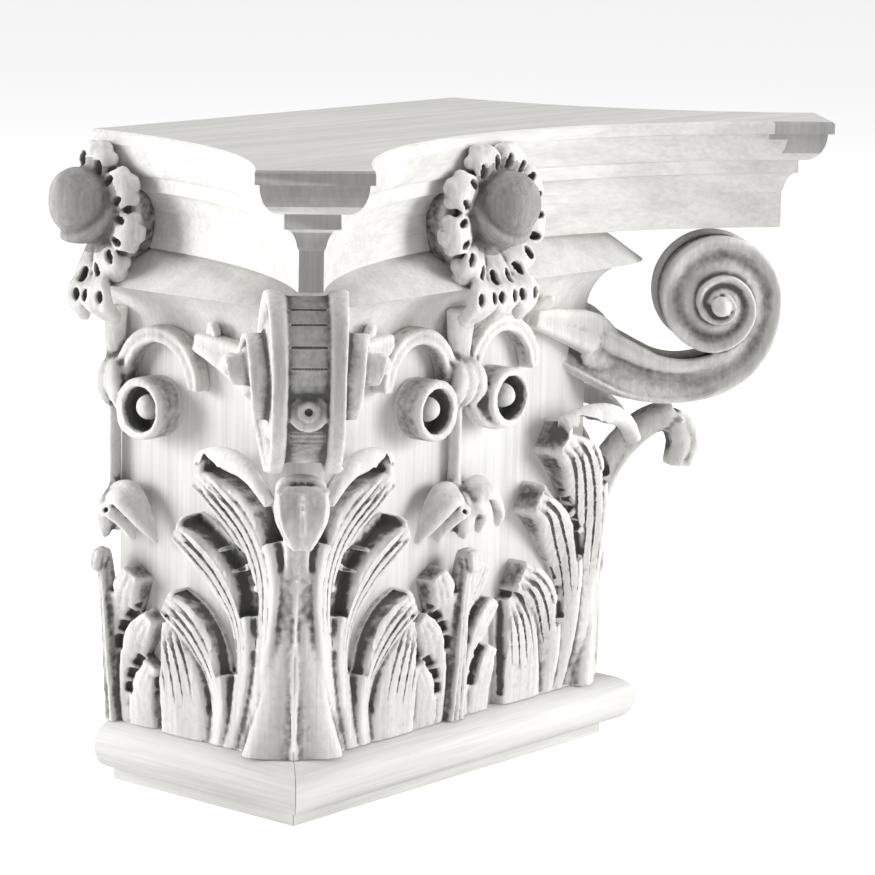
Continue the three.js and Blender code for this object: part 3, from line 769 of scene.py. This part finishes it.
def volute_forms():
    whole = VOLUTE_BAND + scroll_line(0, 2.15, 32)
    wall = 3.2                                  # how far the face stands over the band's back
    forms = []
    for side in (1, -1):
        way = Vector(DIAGONAL_SIDE) * side
        path = [diagonal(s, side * (face - wall), z) for s, z, _, face in whole]
        sunk = [face - wall - CHANNEL_HALF + 0.5 for *_, face in whole]
        forms.append(strip(path, [row[2] * 1.04 for row in whole], [wall] * len(whole), way,
                           sunk=sunk, steps=210, sides=28, flute=0.85, square=0.25))
        # raised bead along the upper edge of the band, and its thin lower lip
        bead = VOLUTE_BAND[:7]
        line = [diagonal(s, side * (face - 2.6), z + half * 0.66) for s, z, half, face in bead]
        forms.append(strip(line, [4.2, 4.4, 4, 3.4, 2.8, 2.2, 1.2],
                           [3.6, 3.6, 3.4, 3, 2.8, 2.4, 1], way, sunk=2, steps=50, sides=12))
        line = [diagonal(s, side * (face - 2.2), z - half * 0.9) for s, z, half, face in bead]
        forms.append(strip(line, [1] * 7, [3] * 7, way, sunk=2, steps=50, sides=8))
        eye = diagonal(VOLUTE_EYE[0], side * (EYE_OUT - 4.5), VOLUTE_EYE[1])
        forms.append(ball(eye, 4.4))
        # strap on the bell's face that runs into the band
        face = [(-46, -(BELL_HALF + 3), 188), (-64, -(BELL_HALF + 4), 184),
                (-82, -(BELL_HALF + 6), 178), diagonal(138, 11, 169), diagonal(156, 9, 160)]
        ways = [OUTWARD, OUTWARD, OUTWARD, DIAGONAL_SIDE, DIAGONAL_SIDE]
        strap = strip(face, [4, 7, 9.5, 10, 5], [4, 5, 6, 4, 0.6], ways, sunk=6, steps=40,
                      sides=16, square=0.4, flute=0.25)
        forms.append(strap if side > 0 else copied(strap, SWAP_XY))
    core = [(s, z, half - 3.6) for s, z, half, _ in VOLUTE_BAND]
    forms.append(strip([diagonal(s, 0, z) for s, z, _ in core], [h for _, _, h in core],
                       [CHANNEL_HALF + 1] * len(core), DIAGONAL_SIDE,
                       sunk=CHANNEL_HALF + 1, steps=40, sides=16, square=0.2))
    hub_s, hub_z = VOLUTE_EYE[0] + 2.5, VOLUTE_EYE[1] + 2
    forms.append(disc(Vector(diagonal(hub_s, 0, hub_z)), DIAGONAL_SIDE, HUB_RADIUS, -9, 9,
                      steps=60))
    # boss in the channel, with a little ring and a hole; cross lines above, rasp marks below
    boss = Vector(diagonal(205.5, 0, 178))
    forms.append(disc(boss, DIAGONAL_OUT, 7.7, -6, 3))
    forms.append(hoop(boss + Vector(DIAGONAL_OUT) * 3, DIAGONAL_OUT, 2.9, 0.9))
    cuts = [ball(boss + Vector(DIAGONAL_OUT) * 3.6, 1.8)]
    lines = []
    for degrees in (1, 20, 42, 60):
        angle = math.radians(degrees)
        lines.append((hub_s + (HUB_RADIUS + 0.3) * math.cos(angle),
                      hub_z + (HUB_RADIUS + 0.3) * math.sin(angle)))
    for k in range(7):
        lines.append((202.4 - 1.1 * k - 0.16 * k * k, 168.4 - 2.1 * k))
    for s, z in lines:
        cuts.append(rod([diagonal(s, -7.2, z), diagonal(s, 7.2, z)], [0.9, 0.9], steps=2,
                        sides=8))
    return forms, cuts


# ---------- stem, calyx and inner scrolls ----------

def on_face(rows):
    return [(a, -(BELL_HALF + o), z) for a, o, z in rows]


def inner_scroll_forms():
    out = (0, -1, 0)
    centre = Vector((23, -BELL_HALF, 159))
    forms = [disc(centre, out, 12.6, -1, 14, steps=44)]
    cuts = [disc(centre + Vector((0.8, 0, 0)), out, 9.2, 5, 20, steps=40)]
    forms_after = [ball(centre + Vector((1.2, -8, 0.5)), (5.2, 6, 5.2))]
    arch = []
    for i in range(13):
        angle = math.pi * (0.0 + i / 12)
        arch.append((27 + 20 * math.cos(angle), 2.5, 168 + 21 * math.sin(angle)))
    arch = arch + [(8, 4, 158), (12, 7, 151), (20, 9, 148)]
    ways = [out] * len(arch)
    forms.append(strip(on_face(arch), [2.6] + [3.6] * 12 + [3.4, 3, 2.4],
                       [7] * 13 + [6, 5, 4], ways, sunk=3, steps=70, sides=16,
                       flute=0.35, square=0.4))
    return forms, cuts, forms_after


def stem_forms():
    out = (0, -1, 0)
    forms = [strip(on_face([(0, 2, 112), (0, 3, 130), (0, 3, 150), (0, 3, 166), (0, 4, 182),
                            (0, 5, 198)]),
                   [3.4, 2.6, 2.4, 3, 6, 9], [4, 3.6, 3.6, 4, 5, 5], out, steps=24, sides=14)]
    half, cuts = [], []
    # calyx: a leaf tip drooping to each side
    for rise, reach, droop in ((0, 27, 104), (-5, 14, 103)):
        rows = [(1, 2, 112 + rise), (5, 8, 121 + rise), (reach * 0.5, 10, 122 + rise),
                (reach * 0.82, 9, droop + 9), (reach, 6, droop)]
        half.append(strip(on_face(rows), [3.5, 6, 7, 4.6, 0.9], [4, 4, 3.6, 2.8, 1.4],
                          [(0, -1, 0.3), (0, -0.7, 0.7), (0.2, -0.6, 0.8), (0.7, -0.6, 0.5),
                           (0.9, -0.4, 0.2)], sunk=2.5, steps=24, sides=14, flute=0.3))
    cuts.append(ball((14, -(BELL_HALF + 12), 113), (2.2, 5, 1.6)))
    cuts.append(ball((6, -(BELL_HALF + 12), 115.5), (1.6, 5, 1.4)))
    rings, hollows, eyes = inner_scroll_forms()
    half += rings
    # bud between the two scrolls: three petals that droop
    for turn in (-1, 0, 1):
        rows = [(turn * 2, 4, 176), (turn * 5, 9, 172), (turn * 6.5, 10, 165),
                (turn * 5.5, 7, 158)]
        forms.append(strip(on_face(rows), [3, 4, 4, 1.6], [3, 3.6, 3.4, 2], out,
                           steps=16, sides=12))
    forms.append(strip(on_face([(0, 4, 122), (0, 9, 117), (0, 10, 110), (0, 8, 103)]),
                       [4, 5, 5, 1.6], [3, 3.4, 3, 2], out, steps=16, sides=12))
    # small cup-shaped leaf tips that hug the lip beside the scrolls
    half.append(strip(on_face([(50, 0, 184), (53, 2, 190), (56, 5, 194), (58, 8, 196)]),
                      [2.6, 4, 3.6, 1.5], [2.4, 2.6, 2.4, 1.4], out, steps=18, sides=12, flute=0.4))
    forms = with_mirror(half, MIRROR_X) + forms
    cuts = with_mirror(cuts + hollows, MIRROR_X)
    return forms, cuts, with_mirror(eyes, MIRROR_X)


# ---------- fleurons ----------

def fleuron_forms():
    out = Vector((0, -1, 0))
    middle = Vector((0, 0, FLEURON_HEIGHT))
    forms = [disc(middle, out, 24.5, 90, 112.5, steps=48)]
    cuts = []
    petals = 9
    for i in range(petals):
        angle = 2 * math.pi * (i + 0.5) / petals
        away = Vector((math.sin(angle), 0, math.cos(angle)))
        along = Vector((math.cos(angle), 0, -math.sin(angle)))
        rows = [middle + away * r + out * o for r, o in
                ((8, 110), (17, 117), (24, 120.5), (28.5, 119), (30.5, 113.5))]
        forms.append(strip(rows, [4, 6, 8, 6.5, 2.5], [3.5, 3.6, 3.4, 3, 2],
                           [tuple(out), tuple(out), tuple(out + away * 0.5),
                            tuple(out * 0.6 + away), tuple(away)], sunk=3, steps=22, sides=14,
                           flute=0.35))
        for j in (-1, 1):
            spot = middle + away * 23 + along * (4.4 * j) + out * 121
            cuts.append(ball(spot, (1.8, 7, 3.8), Matrix.Rotation(angle, 4, "Y"), 2))
        for j in (-1, 0, 1):
            tip = middle + away * (29.5 - abs(j) * 2.5) + along * (5.5 * j) + out * 117
            forms.append(ball(tip, (3.2, 3.2, 3.2), divisions=2))
    for turn in (-1, 0, 1):
        rows = [(turn * 7, -110, 214), (turn * 11, -122, 209), (turn * 15, -124, 202),
                (turn * 18, -117, 194)]
        forms.append(strip(rows, [6, 7.5, 7, 2.6], [4, 4, 3.6, 2.4],
                           [(0, -1, 0.4), (0, -1, 0.3), (0, -1, 0), (0, -1, -0.4)], sunk=4,
                           steps=18, sides=14, flute=0.3))
        for j in (-1, 1):
            cuts.append(ball((turn * 13 + j * 4, -124, 205), (1.8, 7, 3), divisions=2))
    return forms, cuts


def acorn_forms(shift):
    seat = Vector((shift, -120.6, FLEURON_HEIGHT + 3.6))
    way = Vector((0, -math.sin(ACORN_TILT + 0.02), math.cos(ACORN_TILT + 0.02)))
    r = ACORN_RADIUS
    cup = [(0, -15), (6, -13.5), (11, -9.5), (r + 0.2, -3), (r + 1.2, 0), (r + 1, 1.6),
           (r - 0.6, 2.4), (0, 2.4)]
    nut = [(0, -2), (r - 2.2, -2), (r - 1.6, 3), (r - 2.2, 9), (r - 5, 14), (5, 18),
           (1.6, 19.6), (0, 20.8)]
    nut = [tuple(row) for row in run_smooth(nut, 24)]
    nut = [(max(radius, 0), height) for radius, height in nut]
    return [turned(cup, seat, way, 48), turned(nut, seat, way, 48)], seat + way * 2


def paint_corner_shade(obj):
    """Gives the cut corners of the abacus, which face the diagonal, a darker colour: painted shade.
    """
    obj.data.materials.append(CORNER_SHADE)
    for face in obj.data.polygons:
        flat = math.hypot(face.normal.x, face.normal.y)
        off_diagonal = abs(abs(face.normal.x) + face.normal.y)
        if flat > 0.05 and off_diagonal < 0.12 * flat:
            face.material_index = 1


def darken_acorn(obj, middle):
    """Gives the acorn its dark end-grain wood."""
    obj.data.materials.append(END_GRAIN)
    middle = Vector((middle.x * MM, middle.y * MM + BACK_PLANE, middle.z * MM))
    for face in obj.data.polygons:
        near = (face.center - middle).length < 1.32 * ACORN_RADIUS * MM
        if near and face.material_index == 0:
            face.material_index = 2


# ---------- wood ----------

def new_group(name, inputs, outputs):
    group = bpy.data.node_groups.new(name, "ShaderNodeTree")
    for label, kind, value in inputs:
        socket = group.interface.new_socket(label, in_out="INPUT", socket_type=kind)
        if value is not None:
            socket.default_value = value
    for label, kind in outputs:
        group.interface.new_socket(label, in_out="OUTPUT", socket_type=kind)
    return group, group.nodes.new("NodeGroupInput"), group.nodes.new("NodeGroupOutput")


def noise_node(tree, vector, scale, detail=4, roughness=0.55):
    node = tree.nodes.new("ShaderNodeTexNoise")
    node.inputs["Scale"].default_value = scale
    node.inputs["Detail"].default_value = detail
    node.inputs["Roughness"].default_value = roughness
    tree.links.new(vector, node.inputs["Vector"])
    return node.outputs["Fac"]


def maths(tree, operation, first, second):
    node = tree.nodes.new("ShaderNodeMath")
    node.operation = operation
    for socket, value in zip(node.inputs, (first, second)):
        if isinstance(value, (int, float)):
            socket.default_value = value
        else:
            tree.links.new(value, socket)
    return node.outputs[0]


def ranged(tree, value, low, high, to_low, to_high):
    node = tree.nodes.new("ShaderNodeMapRange")
    for label, number in (("From Min", low), ("From Max", high), ("To Min", to_low),
                          ("To Max", to_high)):
        node.inputs[label].default_value = number
    tree.links.new(value, node.inputs["Value"])
    return node.outputs["Result"]


def grain_group():
    """Wood grain that runs along Z of the vector: broad bands, fine fibres and pores."""
    group, start, end = new_group(
        "wood_grain", [("Vector", "NodeSocketVector", None)],
        [("Tone", "NodeSocketFloat"), ("Height", "NodeSocketFloat")])
    stretched = group.nodes.new("ShaderNodeMapping")
    stretched.inputs["Scale"].default_value = (1, 1, 0.035)
    group.links.new(start.outputs["Vector"], stretched.inputs["Vector"])
    vector = stretched.outputs["Vector"]
    broad = noise_node(group, vector, 110, 3, 0.5)
    fine = noise_node(group, vector, 620, 5, 0.6)
    pores = noise_node(group, vector, 1500, 3, 0.6)
    tone = maths(group, "ADD", maths(group, "MULTIPLY", broad, 0.5),
                 maths(group, "MULTIPLY", fine, 0.5))
    group.links.new(tone, end.inputs["Tone"])
    height = maths(group, "ADD", maths(group, "MULTIPLY", fine, 0.6),
                   maths(group, "MULTIPLY", pores, 0.4))
    group.links.new(height, end.inputs["Height"])
    return group


def shade_and_wear_group():
    """Painted shade that darkens hollows and steep walls, the random stain added to it, and lighter
    worn arrises.
    """
    group, start, end = new_group(
        "painted_shade_and_worn_edges",
        [("Colour", "NodeSocketColor", None), ("Shade_And_Stain", "NodeSocketFloat", 0.0),
         ("Painted_Shade", "NodeSocketFloat", 0.5), ("Lighten", "NodeSocketFloat", 0.15)],
        [("Colour", "NodeSocketColor")])
    # painted shade: deeper points and steep walls get a darker colour
    pit_shade = ranged(group, start.outputs["Shade_And_Stain"], 0.05, 0.9, 0, 1)
    edge = ranged(group, start.outputs["Shade_And_Stain"], -0.1, -0.8, 0, 1)
    down = maths(group, "SUBTRACT", 1.0, maths(group, "MULTIPLY", pit_shade, start.outputs["Painted_Shade"]))
    up = maths(group, "ADD", 1.0, maths(group, "MULTIPLY", edge, start.outputs["Lighten"]))
    factor = maths(group, "MULTIPLY", down, up)
    grey = group.nodes.new("ShaderNodeCombineXYZ")
    for socket in grey.inputs:
        group.links.new(factor, socket)
    mix = group.nodes.new("ShaderNodeMix")
    mix.data_type = "RGBA"
    mix.blend_type = "MULTIPLY"
    mix.inputs["Factor"].default_value = 1
    group.links.new(start.outputs["Colour"], mix.inputs["A"])
    group.links.new(grey.outputs["Vector"], mix.inputs["B"])
    group.links.new(mix.outputs["Result"], end.inputs["Colour"])
    return group


GRAIN = grain_group()
SHADE_AND_WEAR = shade_and_wear_group()


def placed_group(tree, group):
    node = tree.nodes.new("ShaderNodeGroup")
    node.node_tree = group
    return node


def wood(name, light, dark, turn=(0, 0, 0), rough=0.6, bump=0.25, carved=False, shade_strength=0.5):
    """Pale bare wood: grain along Z unless turned; on carved pieces pits, stains, and painted shade
    in hollows and on walls.
    """
    material = bpy.data.materials.new(name)
    material.use_nodes = True
    tree = material.node_tree
    surface = tree.nodes["Principled BSDF"]
    surface.inputs["Specular IOR Level"].default_value = 0.25
    place = tree.nodes.new("ShaderNodeTexCoord")
    mapping = tree.nodes.new("ShaderNodeMapping")
    mapping.inputs["Rotation"].default_value = turn
    tree.links.new(place.outputs["Object"], mapping.inputs["Vector"])
    grain = placed_group(tree, GRAIN)
    tree.links.new(mapping.outputs["Vector"], grain.inputs["Vector"])
    ramp = tree.nodes.new("ShaderNodeValToRGB")
    ramp.color_ramp.elements[0].position = 0.38
    ramp.color_ramp.elements[0].color = (*dark, 1)
    ramp.color_ramp.elements[1].position = 0.6
    ramp.color_ramp.elements[1].color = (*light, 1)
    tree.links.new(grain.outputs["Tone"], ramp.inputs["Fac"])
    colour = ramp.outputs["Color"]
    height = grain.outputs["Height"]
    if carved:
        blotch = noise_node(tree, place.outputs["Object"], 90, 4, 0.6)
        pits = noise_node(tree, place.outputs["Object"], 900, 3, 0.65)
        # the hollow attribute carries the painted shade for pits and steep walls
        hollow = tree.nodes.new("ShaderNodeAttribute")
        hollow.attribute_name = "hollow"
        shade_and_wear = placed_group(tree, SHADE_AND_WEAR)
        shade_and_wear.inputs["Painted_Shade"].default_value = shade_strength
        shade_and_stain = maths(tree, "ADD", hollow.outputs["Fac"],
                       ranged(tree, blotch, 0.35, 0.7, -0.12, 0.2))
        tree.links.new(colour, shade_and_wear.inputs["Colour"])
        tree.links.new(shade_and_stain, shade_and_wear.inputs["Shade_And_Stain"])
        colour = shade_and_wear.outputs["Colour"]
        height = maths(tree, "ADD", height, maths(tree, "MULTIPLY", pits, 0.8))
    tree.links.new(colour, surface.inputs["Base Color"])
    tree.links.new(ranged(tree, grain.outputs["Tone"], 0.3, 0.7, rough + 0.08, rough - 0.05),
                   surface.inputs["Roughness"])
    relief = tree.nodes.new("ShaderNodeBump")
    relief.inputs["Strength"].default_value = bump
    relief.inputs["Distance"].default_value = 0.0004
    tree.links.new(height, relief.inputs["Height"])
    tree.links.new(relief.outputs["Normal"], surface.inputs["Normal"])
    return material


PLAIN = wood("plain_wood", (0.80, 0.79, 0.77), (0.66, 0.65, 0.63))
LONG_X = wood("moulding_wood_across", (0.80, 0.79, 0.77), (0.65, 0.64, 0.62),
              turn=(0, math.pi / 2, 0))
LONG_Y = wood("moulding_wood_along", (0.80, 0.79, 0.77), (0.65, 0.64, 0.62),
              turn=(math.pi / 2, 0, 0))
# painted shade: a darker colour for the abacus corners that face the diagonal
CORNER_SHADE = wood("corner_painted_shade", (0.50, 0.49, 0.48), (0.40, 0.395, 0.385), rough=0.7)
# carved pieces get painted shade in hollows and on steep walls
CARVED = wood("carved_wood", (0.74, 0.73, 0.71), (0.58, 0.57, 0.55), rough=0.68, bump=0.5,
              carved=True, shade_strength=0.82)
END_GRAIN = wood("acorn_wood", (0.40, 0.39, 0.38), (0.28, 0.275, 0.27), rough=0.75, bump=0.7,
                 carved=True, shade_strength=0.35)

# ---------- the pieces ----------

LET_IN = -0.8                                   # how far carvings are meant to be let in
BACK_SLAB = ((-300, 0, -50), (300, 300, 400))
FOOT_SLAB = ((-300, -300, -50), (300, 300, LEAF_FOOT))


def leaf_trims():
    return [bell_form(LET_IN), box(*BACK_SLAB), box(*FOOT_SLAB)]


def common_trims():
    return [bell_form(LET_IN), abacus_form(LET_IN), box(*BACK_SLAB)]


finished(bench_object([eased(bell_form(), 0.5, 40)]), "bell_wood", "bell", PLAIN, 30)
# the abacus's diagonal corner faces get painted shade
paint_corner_shade(finished(bench_object([abacus_form()]), "abacus_wood", "abacus",
                      LONG_X, 30))
for side in SIDES:
    name = f"base_moulding_{side}"
    finished(bench_object([eased(moulding_form(side), 0.25, 50)]), f"{name}_wood", name,
             LONG_X if side == "front" else LONG_Y, 30)

for side in ("left", "right"):
    to_corner = MIRROR_X if side == "right" else Matrix()
    forms, cuts = corner_leaf_forms()
    carve(f"corner_leaf_{side}", all_copied(forms, to_corner),
          all_copied(cuts, to_corner), [], 0.95,
          leaf_trims(), CARVED)
    forms, cuts = volute_forms()
    carve(f"volute_{side}", all_copied(forms, to_corner),
          all_copied(cuts, to_corner), [], 0.8, common_trims(), CARVED,
          texture=0.08, wall_shade=0.42, sheet=to_corner @ Vector(DIAGONAL_SIDE))

for side in SIDES:
    turn = to_side(side)
    forms, cuts, rib = face_leaf_forms()
    carve(f"face_leaf_{side}", all_copied(forms, turn),
          all_copied(cuts, turn), all_copied(rib, turn), 0.7,
          leaf_trims(), CARVED)
    forms, cuts, eyes = stem_forms()
    carve(f"scroll_stem_{side}", all_copied(forms, turn),
          all_copied(cuts, turn), all_copied(eyes, turn), 0.85,
          common_trims(), CARVED)
    forms, cuts = fleuron_forms()
    acorn, seat = acorn_forms(SIDE_SHIFT[side])
    fleuron = carve(f"fleuron_{side}", all_copied(forms, turn),
                    all_copied(cuts, turn), all_copied(acorn, turn), 0.8,
                    common_trims(), CARVED)
    darken_acorn(fleuron, turn @ seat)

# ---------- floor, light and camera ----------


def floor():
    form = bmesh.new()
    bmesh.ops.create_grid(form, x_segments=1, y_segments=1, size=60)
    mesh = bpy.data.meshes.new("floor")
    form.to_mesh(mesh)
    obj = bpy.data.objects.new("floor", mesh)
    bpy.context.scene.collection.objects.link(obj)
    material = bpy.data.materials.new("floor")
    material.use_nodes = True
    surface = material.node_tree.nodes["Principled BSDF"]
    surface.inputs["Base Color"].default_value = (0.95, 0.95, 0.95, 1)
    surface.inputs["Roughness"].default_value = 0.9
    path = material.node_tree.nodes.new("ShaderNodeLightPath")
    glow = ranged(material.node_tree, path.outputs["Is Camera Ray"], 0, 1, 0.05, 0.8)
    surface.inputs["Emission Color"].default_value = (1, 1, 1, 1)
    material.node_tree.links.new(glow, surface.inputs["Emission Strength"])
    mesh.materials.append(material)


def area_light(name, direction, distance, size, power, aim):
    light = bpy.data.lights.new(name, "AREA")
    light.shape = "DISK"
    light.size = size
    light.energy = power
    obj = bpy.data.objects.new(name, light)
    away = Vector(direction).normalized()
    obj.location = aim + away * distance
    obj.rotation_euler = away.to_track_quat("Z", "Y").to_euler()
    bpy.context.scene.collection.objects.link(obj)


CAMERA_TURN = math.radians(49.349)
CAMERA_RISE = math.radians(10.036)
CAMERA_ROLL = math.radians(0.943)
CAMERA_DISTANCE = 1.5078
AIM = Vector((0.0001, BACK_PLANE - 0.0502, 0.1449))

away = Vector((-math.sin(CAMERA_TURN) * math.cos(CAMERA_RISE),
               -math.cos(CAMERA_TURN) * math.cos(CAMERA_RISE), math.sin(CAMERA_RISE)))
right = (-away).cross(Vector((0, 0, 1))).normalized()
up = right.cross(-away)
rolled_right = right * math.cos(CAMERA_ROLL) + up * math.sin(CAMERA_ROLL)
rolled_up = up * math.cos(CAMERA_ROLL) - right * math.sin(CAMERA_ROLL)
lens = bpy.data.cameras.new("camera")
lens.sensor_width = 36
lens.lens = 148.53
lens.shift_x = 0.0779
lens.shift_y = -0.0211
camera = bpy.data.objects.new("camera", lens)
camera.matrix_world = Matrix.Translation(AIM + away * CAMERA_DISTANCE) @ Matrix(
    (rolled_right, rolled_up, away)).transposed().to_4x4()
bpy.context.scene.collection.objects.link(camera)
bpy.context.scene.camera = camera

floor()
level = Vector((0, 0, 1))
toward = Vector((away.x, away.y, 0)).normalized()
area_light("light_left", toward * 0.06 - right + level * 0.2, 1.6, 0.9, 25, AIM)
area_light("light_right", toward * 0.06 + right + level * 0.2, 1.6, 0.9, 23, AIM)
area_light("light_front", toward + level * 0.4, 2.4, 1.8, 0.8, AIM)
area_light("light_above", level + toward * 0.1, 1.7, 1.6, 19, AIM)

world = bpy.data.worlds.new("studio")
bpy.context.scene.world = world
world.use_nodes = True
tree = world.node_tree
background = tree.nodes["Background"]
path = tree.nodes.new("ShaderNodeLightPath")
strength = ranged(tree, path.outputs["Is Camera Ray"], 0, 1, 0.1, 1.0)
tree.links.new(strength, background.inputs["Strength"])
background.inputs["Color"].default_value = (1, 1, 1, 1)
bpy.context.scene.view_settings.view_transform = "Standard"
